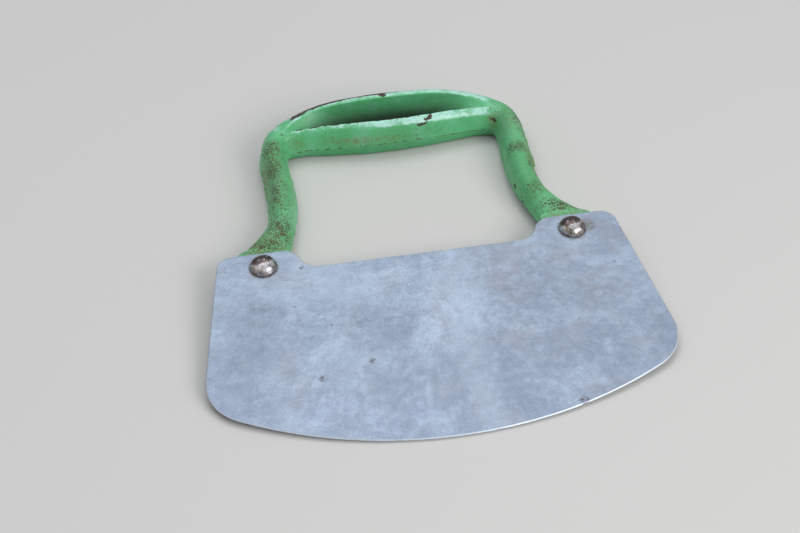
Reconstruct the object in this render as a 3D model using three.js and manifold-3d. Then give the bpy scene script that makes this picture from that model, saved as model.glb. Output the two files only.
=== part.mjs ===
// Single-blade hand chopper: a flat steel blade riveted to a cast D-shaped handle.
// Built flat with the blade's front face at z = 0 and the cutting edge at y = 0,
// then laid on its back on the z = 0 plane: it rests on the edge's bevel and the grip.
import * as THREE from 'three';
import { mergeVertices } from 'three/addons/utils/BufferGeometryUtils.js';
import Module from 'manifold-3d';

// ---- driving dimensions, in millimetres ------------------------------------------------
const GAP = 0.3;                     // between pieces that touch
const SLIVER = 0.02;                 // edges shorter than this are merged after cutting

const BLADE_WIDTH = 165;
const BLADE_THICKNESS = 1.2;
const EAR_TOP = 98.3;                // height of the two riveted ears above the cutting edge
const DIP_TOP = 88;                  // height of the straight back between the ears
const EDGE_RADIUS = 147.4;           // rocking curve of the cutting edge
const SIDE_LEAN = 0.145;             // how much each side leans outward per mm downward
const CORNER_RADIUS = 19;            // bottom corners
const EAR_RADIUS = 6;                // outer corner of each ear
const STEP_RADIUS = 7;               // both arcs of the S-shaped step from ear to dip
const STEP_X = 43.7;                 // middle of that step
const BEVEL_WIDTH = 0.9;             // ground along the cutting edge, both faces

const RIVET_X = 57.4;
const RIVET_Y = 90.8;
const SHANK_RADIUS = 2.4;
const HEAD_RADIUS = 5.1;
const HEAD_HEIGHT = 3.7;
const TAIL_RADIUS = 4.2;
const TAIL_HEIGHT = 1.4;

const FOOT_FRONT = -(BLADE_THICKNESS + GAP);
const FOOT_THICKNESS = 3.4;
const SEAT_TOP = 100.4;              // the blade's seat shows as a narrow ledge above each ear
const FOOT_RADIUS = 9.3;             // rounded tab round each rivet

const LIE_TILT = 5.0 * Math.PI / 180; // blade plane to the surface it lies on

const STATIONS_ALONG = 100;          // handle rings from foot to foot
const POINTS_AROUND = 36;            // points in each handle ring

// The handle's right half, from the foot up to the middle of the grip.
// inner, outer: where the parting line runs on each side.
// depths: of the section's front, parting line and back.
// squareness: of the front; 2 is an ellipse, more is boxier.
const HANDLE_STATIONS = [
  { inner: [47.2, 100.4], outer: [66.4, 101.0], depths: [-0.5, -5.2, -7.2], squareness: 2.2 },
  { inner: [46.4, 104.0], outer: [62.6, 105.4], depths: [-0.3, -5.6, -7.6], squareness: 2.1 },
  { inner: [45.2, 109.5], outer: [57.9, 110.4], depths: [-0.2, -6.0, -8.2], squareness: 2.1 },
  { inner: [43.2, 118.0], outer: [54.1, 117.4], depths: [-0.2, -7.0, -9.2], squareness: 2.1 },
  { inner: [41.8, 127.0], outer: [52.4, 126.5], depths: [-0.5, -8.2, -10.4], squareness: 2.1 },
  { inner: [41.4, 137.0], outer: [52.1, 137.5], depths: [-0.9, -9.6, -11.6], squareness: 2.1 },
  { inner: [41.7, 148.0], outer: [52.6, 150.0], depths: [-1.4, -10.8, -12.8], squareness: 2.1 },
  { inner: [42.3, 157.2], outer: [53.0, 161.0], depths: [-1.6, -11.4, -13.8], squareness: 2.1 },
  { inner: [41.0, 163.5], outer: [50.1, 171.4], depths: [-2.2, -11.2, -14.8], squareness: 2.2 },
  { inner: [35.8, 164.9], outer: [41.8, 178.9], depths: [-1.7, -10.9, -15.8], squareness: 2.4 },
  { inner: [25.0, 163.7], outer: [28.0, 184.4], depths: [-0.1, -10.3, -16.6], squareness: 2.8 },
  { inner: [12.5, 162.2], outer: [13.5, 185.7], depths: [0.9, -9.5, -17.0], squareness: 3.2 },
  { inner: [0.0, 161.7], outer: [0.0, 185.9], depths: [1.1, -9.2, -17.2], squareness: 3.4 },
];
const FRONT_DRAFT = 0.05;            // narrowing of a section towards its front
const BACK_DRAFT = 0.06;             // and towards its back
const BACK_SQUARENESS = 3.6;

const TROUGH_HALF_LENGTH = 43;
const TROUGH_NEAR_Y = 164.8;         // near wall's inner face at the middle
const TROUGH_NEAR_BOW = 2.8;         // and how much farther it is at the ends
const TROUGH_FAR_Y = 179.6;          // far wall's inner face at the middle
const TROUGH_DEPTH = 11.5;           // below the blade's front face, at the middle
const TROUGH_MOUTH = 6;              // the cutter stands this far above the blade's front face

// ---- materials ---------------------------------------------------------------------------
function stainlessSteel() {
  return new THREE.MeshStandardMaterial({ color: 0x9aa6b4, metalness: 0.9, roughness: 0.42 });
}

function greenPaint() {
  return new THREE.MeshStandardMaterial({ color: 0x5aa874, metalness: 0.1, roughness: 0.38 });
}

function polishedSteel() {
  return new THREE.MeshStandardMaterial({ color: 0x9a9088, metalness: 1.0, roughness: 0.22 });
}

// ---- helpers -------------------------------------------------------------------------------
const manifold = await Module();
manifold.setup();

function toManifold(geometry) {
  const bare = geometry.clone();
  bare.deleteAttribute('normal');
  bare.deleteAttribute('uv');
  const merged = mergeVertices(bare, 1e-4);
  return new manifold.Manifold(new manifold.Mesh({
    numProp: 3,
    vertProperties: new Float32Array(merged.attributes.position.array),
    triVerts: new Uint32Array(merged.index.array),
  }));
}

function toGeometry(solid) {
  const mesh = solid.getMesh();
  const positions = new Float32Array(mesh.numVert * 3);
  for (let i = 0; i < mesh.numVert; i += 1) {
    for (let k = 0; k < 3; k += 1) {
      positions[3 * i + k] = mesh.vertProperties[i * mesh.numProp + k];
    }
  }
  const geometry = new THREE.BufferGeometry();
  geometry.setAttribute('position', new THREE.BufferAttribute(positions, 3));
  geometry.setIndex(new THREE.BufferAttribute(new Uint32Array(mesh.triVerts), 1));
  geometry.computeVertexNormals();
  return geometry;
}

// Points of an arc, from one angle to another, both ends included.
function arc(cx, cy, radius, from, to, count) {
  const points = [];
  for (let i = 0; i <= count; i += 1) {
    const angle = from + (to - from) * i / count;
    points.push(new THREE.Vector2(cx + radius * Math.cos(angle), cy + radius * Math.sin(angle)));
  }
  return points;
}

function mirrorAcrossMiddle(points) {
  return points.map((p) => new THREE.Vector2(-p.x, p.y)).reverse();
}

// A closed solid through rings of equal point count, capped at both ends.
// Each ring runs counter-clockwise seen from the last ring, looking back at the first.
function loftRings(rings) {
  const around = rings[0].length;
  const positions = [];
  for (const ring of rings) {
    for (const p of ring) positions.push(p.x, p.y, p.z);
  }
  const index = [];
  for (let r = 0; r + 1 < rings.length; r += 1) {
    for (let i = 0; i < around; i += 1) {
      const a = r * around + i;
      const b = r * around + (i + 1) % around;
      index.push(a, b, b + around, a, b + around, a + around);
    }
  }
  for (const [r, flip] of [[0, true], [rings.length - 1, false]]) {
    const centre = new THREE.Vector3();
    for (const p of rings[r]) centre.addScaledVector(p, 1 / around);
    const hub = positions.length / 3;
    positions.push(centre.x, centre.y, centre.z);
    for (let i = 0; i < around; i += 1) {
      const a = r * around + i;
      const b = r * around + (i + 1) % around;
      if (flip) index.push(hub, b, a);
      else index.push(hub, a, b);
    }
  }
  const geometry = new THREE.BufferGeometry();
  geometry.setAttribute('position', new THREE.Float32BufferAttribute(positions, 3));
  geometry.setIndex(index);
  geometry.computeVertexNormals();
  return geometry;
}

// ---- blade ---------------------------------------------------------------------------------
// Right half of the outline from the middle of the cutting edge, counter-clockwise.
// inset moves the cutting edge and its corners inward, which makes the ground bevel.
function bladeHalfOutline(inset) {
  const halfWidth = BLADE_WIDTH / 2;
  const cornerX = halfWidth - CORNER_RADIUS;
  const toCorner = EDGE_RADIUS - CORNER_RADIUS;
  const cornerY = EDGE_RADIUS - Math.sqrt(toCorner ** 2 - cornerX ** 2);
  const edgeEnd = Math.atan2(cornerY - EDGE_RADIUS, cornerX);
  const sideAngle = Math.atan(SIDE_LEAN);
  const sideX = cornerX + CORNER_RADIUS * Math.cos(sideAngle);
  const sideY = cornerY + CORNER_RADIUS * Math.sin(sideAngle);
  const sideAt = (y) => sideX - SIDE_LEAN * (y - sideY);
  const earY = EAR_TOP - EAR_RADIUS;
  const earX = sideAt(earY) - EAR_RADIUS / Math.cos(sideAngle);
  const turn = Math.acos(1 - (EAR_TOP - DIP_TOP) / (2 * STEP_RADIUS));
  const stepHalf = STEP_RADIUS * Math.sin(turn);
  const up = Math.PI / 2;
  return [
    ...arc(0, EDGE_RADIUS, EDGE_RADIUS - inset, -up, edgeEnd, 28),
    ...arc(cornerX, cornerY, CORNER_RADIUS - inset, edgeEnd, 0, 8).slice(1),
    ...arc(cornerX, cornerY, CORNER_RADIUS, 0, sideAngle, 1).slice(1),
    ...arc(earX, earY, EAR_RADIUS, sideAngle, up, 8),
    ...arc(STEP_X + stepHalf, EAR_TOP - STEP_RADIUS, STEP_RADIUS, up, up + turn, 8),
    ...arc(STEP_X - stepHalf, DIP_TOP + STEP_RADIUS, STEP_RADIUS, turn - up, -up, 8).slice(1),
  ];
}

function bladeOutline(inset) {
  const right = bladeHalfOutline(inset);
  return [...right, ...mirrorAcrossMiddle(right).slice(0, -1)];
}

function blade() {
  const levels = [
    { z: 0, outline: bladeOutline(BEVEL_WIDTH) },
    { z: -BLADE_THICKNESS / 2, outline: bladeOutline(0) },
    { z: -BLADE_THICKNESS, outline: bladeOutline(BEVEL_WIDTH) },
  ];
  const holeRadius = SHANK_RADIUS + GAP;
  const holes = [RIVET_X, -RIVET_X].map(
    (x) => arc(x, RIVET_Y, holeRadius, 0, -2 * Math.PI, 32).slice(0, -1),
  );
  const positions = [];
  const index = [];
  const starts = levels.map(({ z, outline }) => {
    const start = positions.length / 3;
    for (const p of outline) positions.push(p.x, p.y, z);
    return start;
  });
  const count = levels[0].outline.length;
  const wall = (upper, lower, n) => {
    for (let i = 0; i < n; i += 1) {
      const j = (i + 1) % n;
      index.push(upper + i, lower + i, lower + j, upper + i, lower + j, upper + j);
    }
  };
  wall(starts[0], starts[1], count);
  wall(starts[1], starts[2], count);
  const holeStarts = [0, -BLADE_THICKNESS].map((z) => holes.map((hole) => {
    const start = positions.length / 3;
    for (const p of hole) positions.push(p.x, p.y, z);
    return start;
  }));
  holes.forEach((hole, h) => wall(holeStarts[0][h], holeStarts[1][h], hole.length));
  const faces = THREE.ShapeUtils.triangulateShape(levels[0].outline, holes);
  const vertexOf = (outlineStart, starters) => (i) => {
    let rest = i;
    if (rest < count) return outlineStart + rest;
    rest -= count;
    return rest < holes[0].length ? starters[0] + rest : starters[1] + rest - holes[0].length;
  };
  const topVertex = vertexOf(starts[0], holeStarts[0]);
  const bottomVertex = vertexOf(starts[2], holeStarts[1]);
  for (const [a, b, c] of faces) {
    index.push(topVertex(a), topVertex(b), topVertex(c));
    index.push(bottomVertex(a), bottomVertex(c), bottomVertex(b));
  }
  const geometry = new THREE.BufferGeometry();
  geometry.setAttribute('position', new THREE.Float32BufferAttribute(positions, 3));
  geometry.setIndex(index);
  return toGeometry(toManifold(geometry));
}

// ---- rivets --------------------------------------------------------------------------------
function rivet(side) {
  const tailTop = FOOT_FRONT - FOOT_THICKNESS - GAP;
  const profile = [];
  const dome = (radius, height, count) => {
    const sphere = (radius ** 2 + height ** 2) / (2 * height);
    const half = Math.asin(radius / sphere);
    return Array.from({ length: count + 1 }, (_, i) => {
      const angle = half * i / count;
      return [sphere * Math.sin(angle), sphere * Math.cos(angle) - (sphere - height)];
    });
  };
  for (const [r, h] of dome(TAIL_RADIUS, TAIL_HEIGHT, 6)) {
    profile.push(new THREE.Vector2(r, tailTop - h));
  }
  profile.push(new THREE.Vector2(SHANK_RADIUS, tailTop));
  profile.push(new THREE.Vector2(SHANK_RADIUS, GAP));
  for (const [r, h] of dome(HEAD_RADIUS, HEAD_HEIGHT, 10).reverse()) {
    profile.push(new THREE.Vector2(r, GAP + h));
  }
  profile[0].x = 0;
  profile[profile.length - 1].x = 0;
  const geometry = new THREE.LatheGeometry(profile, 40);
  geometry.rotateX(Math.PI / 2);
  geometry.translate(side * RIVET_X, RIVET_Y, 0);
  return toGeometry(toManifold(geometry));
}

// ---- handle --------------------------------------------------------------------------------
function handleGuide() {
  const half = HANDLE_STATIONS;
  const mirrored = half.slice(0, -1).map((s) => ({
    ...s,
    inner: [-s.inner[0], s.inner[1]],
    outer: [-s.outer[0], s.outer[1]],
  }));
  const all = [...half, ...mirrored.reverse()];
  const smooth = (pick) => new THREE.CatmullRomCurve3(
    all.map((s) => new THREE.Vector3(...pick(s))),
    false,
    'centripetal',
  );
  const inner = smooth((s) => [...s.inner, 0]);
  const outer = smooth((s) => [...s.outer, 0]);
  const depths = smooth((s) => s.depths);
  const squareness = smooth((s) => [s.squareness, 0, 0]);
  return (share) => ({
    inner: inner.getPoint(share),
    outer: outer.getPoint(share),
    depths: depths.getPoint(share),
    squareness: squareness.getPoint(share).x,
  });
}

function handleRing({ inner, outer, depths, squareness }) {
  const [front, parting, back] = depths.toArray();
  const centre = inner.clone().add(outer).multiplyScalar(0.5);
  const reach = outer.clone().sub(inner).multiplyScalar(0.5);
  const ring = [];
  for (let i = 0; i < POINTS_AROUND; i += 1) {
    const angle = 2 * Math.PI * i / POINTS_AROUND;
    const c = Math.cos(angle);
    const s = Math.sin(angle);
    const inFront = s > 0;
    const power = 2 / (inFront ? squareness : BACK_SQUARENESS);
    const rise = Math.abs(s) ** power;
    const draft = inFront ? FRONT_DRAFT : BACK_DRAFT;
    const across = Math.sign(c) * Math.abs(c) ** power * (1 - draft * rise);
    const depth = parting + ((inFront ? front : back) - parting) * rise;
    ring.push(new THREE.Vector3(centre.x + reach.x * across, centre.y + reach.y * across, depth));
  }
  return ring;
}

function handleBar() {
  const guide = handleGuide();
  const rings = [];
  for (let i = 0; i <= STATIONS_ALONG; i += 1) {
    rings.push(handleRing(guide(i / STATIONS_ALONG)).reverse());
  }
  return loftRings(rings);
}

// Canoe-shaped cutter for the hollow in the front of the grip.
function troughCutter() {
  const rings = [];
  const steps = 36;
  const around = 20;
  for (let i = 0; i <= steps; i += 1) {
    const share = -1 + 2 * i / steps;
    const fullness = Math.max(1 - Math.abs(share) ** 2.6, 0.01);
    const near = TROUGH_NEAR_Y + TROUGH_NEAR_BOW * share ** 2;
    const far = near + (TROUGH_FAR_Y - TROUGH_NEAR_Y) * fullness ** 0.8;
    const floor = TROUGH_MOUTH - (TROUGH_DEPTH + TROUGH_MOUTH) * (0.35 + 0.65 * fullness);
    const middle = (near + far) / 2;
    const reach = (far - near) / 2;
    const ring = [];
    for (let k = 0; k <= around; k += 1) {
      const angle = Math.PI * k / around;
      const c = -Math.cos(angle);
      const across = Math.sign(c) * Math.abs(c) ** 0.5;
      const sink = Math.abs(Math.sin(angle)) ** 0.5;
      ring.push(new THREE.Vector3(
        TROUGH_HALF_LENGTH * share,
        middle + reach * across * (1 - 0.1 * sink),
        TROUGH_MOUTH + (floor - TROUGH_MOUTH) * sink,
      ));
    }
    rings.push(ring);
  }
  return loftRings(rings);
}

// Flat tab behind one ear, with the rivet hole through it.
function foot(side) {
  const shape = new THREE.Shape([
    new THREE.Vector2(47.4, SEAT_TOP + 0.4),
    new THREE.Vector2(47.8, SEAT_TOP - 4),
    ...arc(RIVET_X, RIVET_Y, FOOT_RADIUS, Math.PI, 2 * Math.PI, 16),
    new THREE.Vector2(66.6, SEAT_TOP - 4),
    new THREE.Vector2(67.0, SEAT_TOP - 1),
    new THREE.Vector2(64.8, SEAT_TOP + 1),
    new THREE.Vector2(61.0, SEAT_TOP + 3),
    new THREE.Vector2(50.0, SEAT_TOP + 3),
  ]);
  shape.holes.push(new THREE.Path(arc(RIVET_X, RIVET_Y, SHANK_RADIUS + GAP, 0, -2 * Math.PI, 32)));
  const geometry = new THREE.ExtrudeGeometry(shape, { depth: FOOT_THICKNESS, bevelEnabled: false });
  geometry.translate(0, 0, FOOT_FRONT - FOOT_THICKNESS);
  const solid = toManifold(geometry);
  return side > 0 ? solid : solid.mirror([1, 0, 0]);
}

// Everything below the surface the tool lies on, as one large block.
function belowTable() {
  const size = 400;
  const block = new THREE.BoxGeometry(size, size, size);
  block.translate(0, size / 4, -size / 2);
  block.applyMatrix4(layDown().invert());
  return toManifold(block);
}

function handle() {
  const solid = toManifold(handleBar())
    .add(foot(1))
    .add(foot(-1))
    .subtract(toManifold(troughCutter()))
    .subtract(belowTable())
    .simplify(SLIVER);
  return toGeometry(solid);
}

// ---- assembly ------------------------------------------------------------------------------
// Turns the flat build so that it lies on its edge's rear bevel and the back of its grip.
function layDown() {
  const lift = BLADE_THICKNESS * Math.cos(LIE_TILT) - BEVEL_WIDTH * Math.sin(LIE_TILT);
  return new THREE.Matrix4()
    .makeTranslation(0, 0, lift)
    .multiply(new THREE.Matrix4().makeRotationX(LIE_TILT));
}

// Puts the origin under the middle of the whole tool.
function centreOnOrigin() {
  const box = new THREE.Box3().setFromObject(group);
  const middle = box.getCenter(new THREE.Vector3());
  for (const mesh of group.children) mesh.geometry.translate(-middle.x, -middle.y, -box.min.z);
}

const group = new THREE.Group();
group.name = 'hand_chopper';

function addPiece(name, geometry, material) {
  geometry.applyMatrix4(layDown());
  const mesh = new THREE.Mesh(geometry, material);
  mesh.name = name;
  group.add(mesh);
}

addPiece('blade', blade(), stainlessSteel());
addPiece('handle', handle(), greenPaint());
addPiece('left_rivet', rivet(-1), polishedSteel());
addPiece('right_rivet', rivet(1), polishedSteel());
centreOnOrigin();

export default group;
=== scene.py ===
import math

import bmesh
import bpy
import numpy as np
from mathutils import Matrix, Vector, noise


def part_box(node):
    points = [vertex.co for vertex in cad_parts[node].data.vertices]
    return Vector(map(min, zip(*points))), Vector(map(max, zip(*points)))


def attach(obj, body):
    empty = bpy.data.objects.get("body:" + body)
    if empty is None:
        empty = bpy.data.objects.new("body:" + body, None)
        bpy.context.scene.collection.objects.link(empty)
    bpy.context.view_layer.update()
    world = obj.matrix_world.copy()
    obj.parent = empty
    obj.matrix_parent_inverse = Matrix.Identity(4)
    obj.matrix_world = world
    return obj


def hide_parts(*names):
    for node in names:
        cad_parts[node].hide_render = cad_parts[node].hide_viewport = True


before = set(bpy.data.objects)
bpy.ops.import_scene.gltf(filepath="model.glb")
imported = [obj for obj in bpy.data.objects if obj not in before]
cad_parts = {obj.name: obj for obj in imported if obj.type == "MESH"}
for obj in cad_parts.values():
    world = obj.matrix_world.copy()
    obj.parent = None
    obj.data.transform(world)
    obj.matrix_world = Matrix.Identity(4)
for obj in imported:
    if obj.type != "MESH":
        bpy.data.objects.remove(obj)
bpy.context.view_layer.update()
BLADE_LOW, BLADE_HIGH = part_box("blade")

# ---- driving dimensions, in millimetres ---------------------------------------------------
MM = 0.001
GAP = 0.3
LIE_TILT = math.radians(5.0)         # blade plane to the surface that the tool lies on

BLADE_WIDTH = (BLADE_HIGH.x - BLADE_LOW.x) / MM
BLADE_THICKNESS = 1.2
EAR_TOP = 98.3
DIP_TOP = 88.0
EDGE_RADIUS = 147.4
SIDE_LEAN = 0.145
CORNER_RADIUS = 19.0
EAR_RADIUS = 6.0
STEP_RADIUS = 7.0
STEP_X = 43.7
BEVEL_WIDTH = 0.9

RIVET_X = 57.4
RIVET_Y = 90.8
SHANK_RADIUS = 2.4
HEAD_RADIUS = 5.1
HEAD_HEIGHT = 3.7
TAIL_RADIUS = 4.2
TAIL_HEIGHT = 1.4

FOOT_FRONT = -(BLADE_THICKNESS + GAP)
FOOT_THICKNESS = 3.4
SEAT_TOP = 100.4
FOOT_RADIUS = 9.3
FOOT_HOLE_GAP = 0.1                  # between the rivet's shank and its hole in the foot
FOOT_THICKENING = 2.2                # how much deeper the foot's back gets where it meets the leg
FOOT_THICKENS = (91.0, 101.5)        # from which y to which

# The handle's right half, from the foot up to the middle of the grip.
# inner, outer: where the parting line runs on each side. depths: front, parting line, back.
# squareness: of the front; 2 is an ellipse.
HANDLE_STATIONS = [
    {"inner": (47.2, 100.4), "outer": (66.4, 101.0), "depths": (-1.4, -5.2, -7.2), "squareness": 2.2},
    {"inner": (46.4, 104.0), "outer": (62.6, 105.4), "depths": (-0.5, -5.6, -7.6), "squareness": 2.1},
    {"inner": (45.2, 109.5), "outer": (57.9, 110.4), "depths": (-0.2, -6.0, -8.2), "squareness": 2.1},
    {"inner": (43.2, 118.0), "outer": (54.1, 117.4), "depths": (-0.2, -7.0, -9.2), "squareness": 2.1},
    {"inner": (41.8, 127.0), "outer": (52.4, 126.5), "depths": (-0.5, -8.2, -10.4), "squareness": 2.1},
    {"inner": (41.4, 137.0), "outer": (52.1, 137.5), "depths": (-0.9, -9.6, -11.6), "squareness": 2.1},
    {"inner": (41.7, 148.0), "outer": (52.6, 150.0), "depths": (-1.4, -10.8, -12.8), "squareness": 2.1},
    {"inner": (42.3, 157.2), "outer": (53.0, 161.0), "depths": (-1.6, -11.4, -13.8), "squareness": 2.1},
    {"inner": (41.0, 163.5), "outer": (50.1, 171.2), "depths": (-2.3, -11.2, -14.8), "squareness": 2.3},
    {"inner": (35.8, 164.9), "outer": (41.8, 178.5), "depths": (-2.0, -10.9, -15.8), "squareness": 2.8},
    {"inner": (25.0, 163.7), "outer": (28.0, 183.7), "depths": (-0.6, -10.3, -16.6), "squareness": 3.7},
    {"inner": (12.5, 162.2), "outer": (13.5, 185.1), "depths": (0.4, -9.5, -17.0), "squareness": 4.3},
    {"inner": (0.0, 161.7), "outer": (0.0, 185.4), "depths": (0.6, -9.2, -17.2), "squareness": 4.5},
]
FRONT_DRAFT = 0.05
BACK_DRAFT = 0.06
BACK_SQUARENESS = 3.6

TROUGH_REACH = 3.70                  # stations from the middle of the grip to the trough's tips
RIGHT_SHORTER = 0.22                 # how many stations less it reaches on the right
TROUGH_DEPTH = 12.5
NEAR_CREST = -0.68                   # the two rims' inner edges, across the section from -1 to 1
FAR_CREST = 0.47
TIP_CREST = -0.36                    # where they meet at the tips

RINGS = 380
DENSE_POINTS = 420                   # along a section's front before it is resampled
PARTING_HALF = 0.32                  # half the thickness of the flash at its root
SOFT_PASSES = 14                     # rounds of smoothing over the rims
LEAST_RUN = 20                       # fewest dense points kept on each side of a rim
RIM_COUNTS = (15, 42, 15)            # points from parting line to rim, across, and back down
BACK_COUNT = 42
RIVET_AROUND = 96                    # points round a rivet

SKY_STRENGTH = 0.68
CAMERA_AIM = Vector((-0.0083, -0.01065, 0.008))
CAMERA_DISTANCE = 0.6524
CAMERA_AZIMUTH = math.radians(-6.215)
CAMERA_ELEVATION = math.radians(39.59)
CAMERA_ROLL = math.radians(-3.35)
CAMERA_LENS = 80.73


# ---- placing --------------------------------------------------------------------------------
def lay_matrix():
    """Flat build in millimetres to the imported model's frame in metres."""
    cos = math.cos(LIE_TILT)
    sin = math.sin(LIE_TILT)
    lift = BLADE_THICKNESS * cos - BEVEL_WIDTH * sin
    back = BLADE_HIGH.y / MM - (EAR_TOP * cos + BLADE_THICKNESS * sin)
    tilt = Matrix.Rotation(LIE_TILT, 4, "X")
    return Matrix.Scale(MM, 4) @ Matrix.Translation((0, back, lift)) @ tilt


LAY = lay_matrix()


def laid(x, y, z=0.0):
    """A point of the flat build, in the model's frame."""
    return LAY @ Vector((x, y, z))


def smoothstep(low, high, value):
    share = np.clip((np.asarray(value, float) - low) / (high - low), 0, 1)
    return share * share * (3 - 2 * share)


def make_object(name, vertices, faces):
    """A mesh object from flat-build points, laid down; tidy_mesh shades it later."""
    mesh = bpy.data.meshes.new(name)
    mesh.from_pydata([tuple(v) for v in vertices], [], faces)
    mesh.transform(LAY)
    mesh.update()
    made = bpy.data.objects.new(name, mesh)
    bpy.context.scene.collection.objects.link(made)
    return made


def tidy_mesh(piece, sharp_angle):
    """Merges doubles, turns every face outward and shades smooth up to the sharp angle."""
    work = bmesh.new()
    work.from_mesh(piece.data)
    bmesh.ops.remove_doubles(work, verts=work.verts, dist=2e-6)
    bmesh.ops.recalc_face_normals(work, faces=work.faces)
    work.to_mesh(piece.data)
    work.free()
    piece.data.shade_smooth()
    piece.data.set_sharp_from_angle(angle=math.radians(sharp_angle))


# ---- blade ----------------------------------------------------------------------------------
def arc(cx, cy, radius, start, end, count):
    steps = np.linspace(start, end, count + 1)
    return [(cx + radius * math.cos(a), cy + radius * math.sin(a)) for a in steps]


def blade_half():
    """Right half of the blade's outline, and for each point whether it is ground sharp."""
    corner_x = BLADE_WIDTH / 2 - CORNER_RADIUS
    corner_y = EDGE_RADIUS - math.sqrt((EDGE_RADIUS - CORNER_RADIUS) ** 2 - corner_x ** 2)
    edge_end = math.atan2(corner_y - EDGE_RADIUS, corner_x)
    side_angle = math.atan(SIDE_LEAN)
    side_x = corner_x + CORNER_RADIUS * math.cos(side_angle)
    side_y = corner_y + CORNER_RADIUS * math.sin(side_angle)
    ear_y = EAR_TOP - EAR_RADIUS
    ear_x = side_x - SIDE_LEAN * (ear_y - side_y) - EAR_RADIUS / math.cos(side_angle)
    turn = math.acos(1 - (EAR_TOP - DIP_TOP) / (2 * STEP_RADIUS))
    step_half = STEP_RADIUS * math.sin(turn)
    up = math.pi / 2
    edge = arc(0, EDGE_RADIUS, EDGE_RADIUS, -up, edge_end, 90)
    corner = arc(corner_x, corner_y, CORNER_RADIUS, edge_end, side_angle, 30)[1:]
    ear = arc(ear_x, ear_y, EAR_RADIUS, side_angle, up, 18)
    crest = arc(STEP_X + step_half, EAR_TOP - STEP_RADIUS, STEP_RADIUS, up, up + turn, 18)
    valley = arc(STEP_X - step_half, DIP_TOP + STEP_RADIUS, STEP_RADIUS, turn - up, -up, 18)[1:]
    points = edge + corner + ear + crest + valley
    ground = [1.0] * len(edge)
    ground += list(1 - smoothstep(0.75, 1.0, np.linspace(0, 1, len(corner))))
    ground += [0.0] * (len(points) - len(ground))
    return np.array(points), np.array(ground)


def blade_outline():
    points, ground = blade_half()
    mirrored = points[::-1][:-1] * (-1, 1)
    return np.vstack([points, mirrored]), np.hstack([ground, ground[::-1][:-1]])


def outward_normals(points):
    ahead = np.roll(points, -1, axis=0) - points
    behind = points - np.roll(points, 1, axis=0)
    ahead /= np.linalg.norm(ahead, axis=1)[:, None]
    behind /= np.linalg.norm(behind, axis=1)[:, None]
    along = ahead + behind
    normals = np.column_stack([along[:, 1], -along[:, 0]])
    return normals / np.linalg.norm(normals, axis=1)[:, None]


# Inset and depth down the rim of the sheet, front to back.
GROUND_PROFILE = [(0.52, 0.0), (0.44, -0.03), (0.03, -0.34), (0.0, -0.38),
                  (0.04, -0.44), (0.84, -1.15), (0.98, -1.2)]
GROUND_INSET = 0.5                   # rows of the ground rim with less inset than this are worked
SHEARED_PROFILE = [(0.16, 0.0), (0.05, -0.05), (0.0, -0.16), (0.0, -0.6),
                   (0.0, -1.04), (0.05, -1.15), (0.16, -1.2)]


# Nicks in the cutting edge: x, depth and width.
NICKS = [(43.2, 0.22, 0.9), (-21.0, 0.12, 0.8), (12.5, 0.10, 0.6)]


def edge_wear(points, ground):
    """How far the cutting edge is worn in: a fine wander and a few small nicks."""
    wander = np.array([noise.noise((p[0] * 0.35, p[1] * 0.35, 4.0)) for p in points])
    wear = 0.05 + 0.06 * wander
    for nick_x, nick_depth, nick_width in NICKS:
        wear += nick_depth * np.exp(-((points[:, 0] - nick_x) / nick_width) ** 2)
    return np.clip(wear, 0, None) * ground


def planar_faces(loops, z):
    """Triangles that fill the first loop, leaving the others as holes."""
    work = bmesh.new()
    for loop in loops:
        made = [work.verts.new((x, y, z)) for x, y in loop]
        for first, second in zip(made, made[1:] + made[:1]):
            work.edges.new((first, second))
    bmesh.ops.triangle_fill(work, edges=work.edges[:], use_beauty=True)
    work.verts.index_update()
    faces = [[v.index for v in face.verts] for face in work.faces]
    work.free()
    return faces


def steel_blade():
    outline, ground = blade_outline()
    normals = outward_normals(outline)
    wear = edge_wear(outline, ground)
    vertices = []
    levels = []
    worked = []
    for (ground_inset, ground_z), (plain_inset, plain_z) in zip(GROUND_PROFILE, SHEARED_PROFILE):
        inset = ground * ground_inset * BEVEL_WIDTH + (1 - ground) * plain_inset
        worked += list(ground * (ground_inset < GROUND_INSET))
        inset = np.maximum(inset, wear)
        depth = ground * ground_z + (1 - ground) * plain_z
        placed = outline - normals * inset[:, None]
        levels.append(np.column_stack([placed, depth]))
        vertices += list(levels[-1])
    count = len(outline)
    faces = []
    for level in range(len(levels) - 1):
        start = level * count
        for i in range(count):
            j = (i + 1) % count
            faces.append([start + i, start + i + count, start + j + count, start + j])
    holes = [np.array(arc(side * RIVET_X, RIVET_Y, SHANK_RADIUS + GAP, 0, 2 * math.pi, 48)[:-1])
             for side in (1, -1)]
    for level, flip in ((0, False), (len(levels) - 1, True)):
        z = levels[level][0, 2]
        loops = [levels[level][:, :2]] + holes
        start = len(vertices)
        vertices += [(x, y, z) for loop in loops for x, y in loop]
        for face in planar_faces(loops, z):
            faces.append([start + i for i in (reversed(face) if flip else face)])
    front = len(levels) * count + count
    back = front + sum(len(h) for h in holes) + count
    for h, hole in enumerate(holes):
        for i in range(len(hole)):
            j = (i + 1) % len(hole)
            first = h * len(hole)
            faces.append([front + first + i, front + first + j, back + first + j, back + first + i])
    piece = make_object("steel_blade", vertices, faces)
    set_mask(piece, "ground", worked + [0.0] * (len(vertices) - len(worked)))
    tidy_mesh(piece, 12)
    return piece


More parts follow.
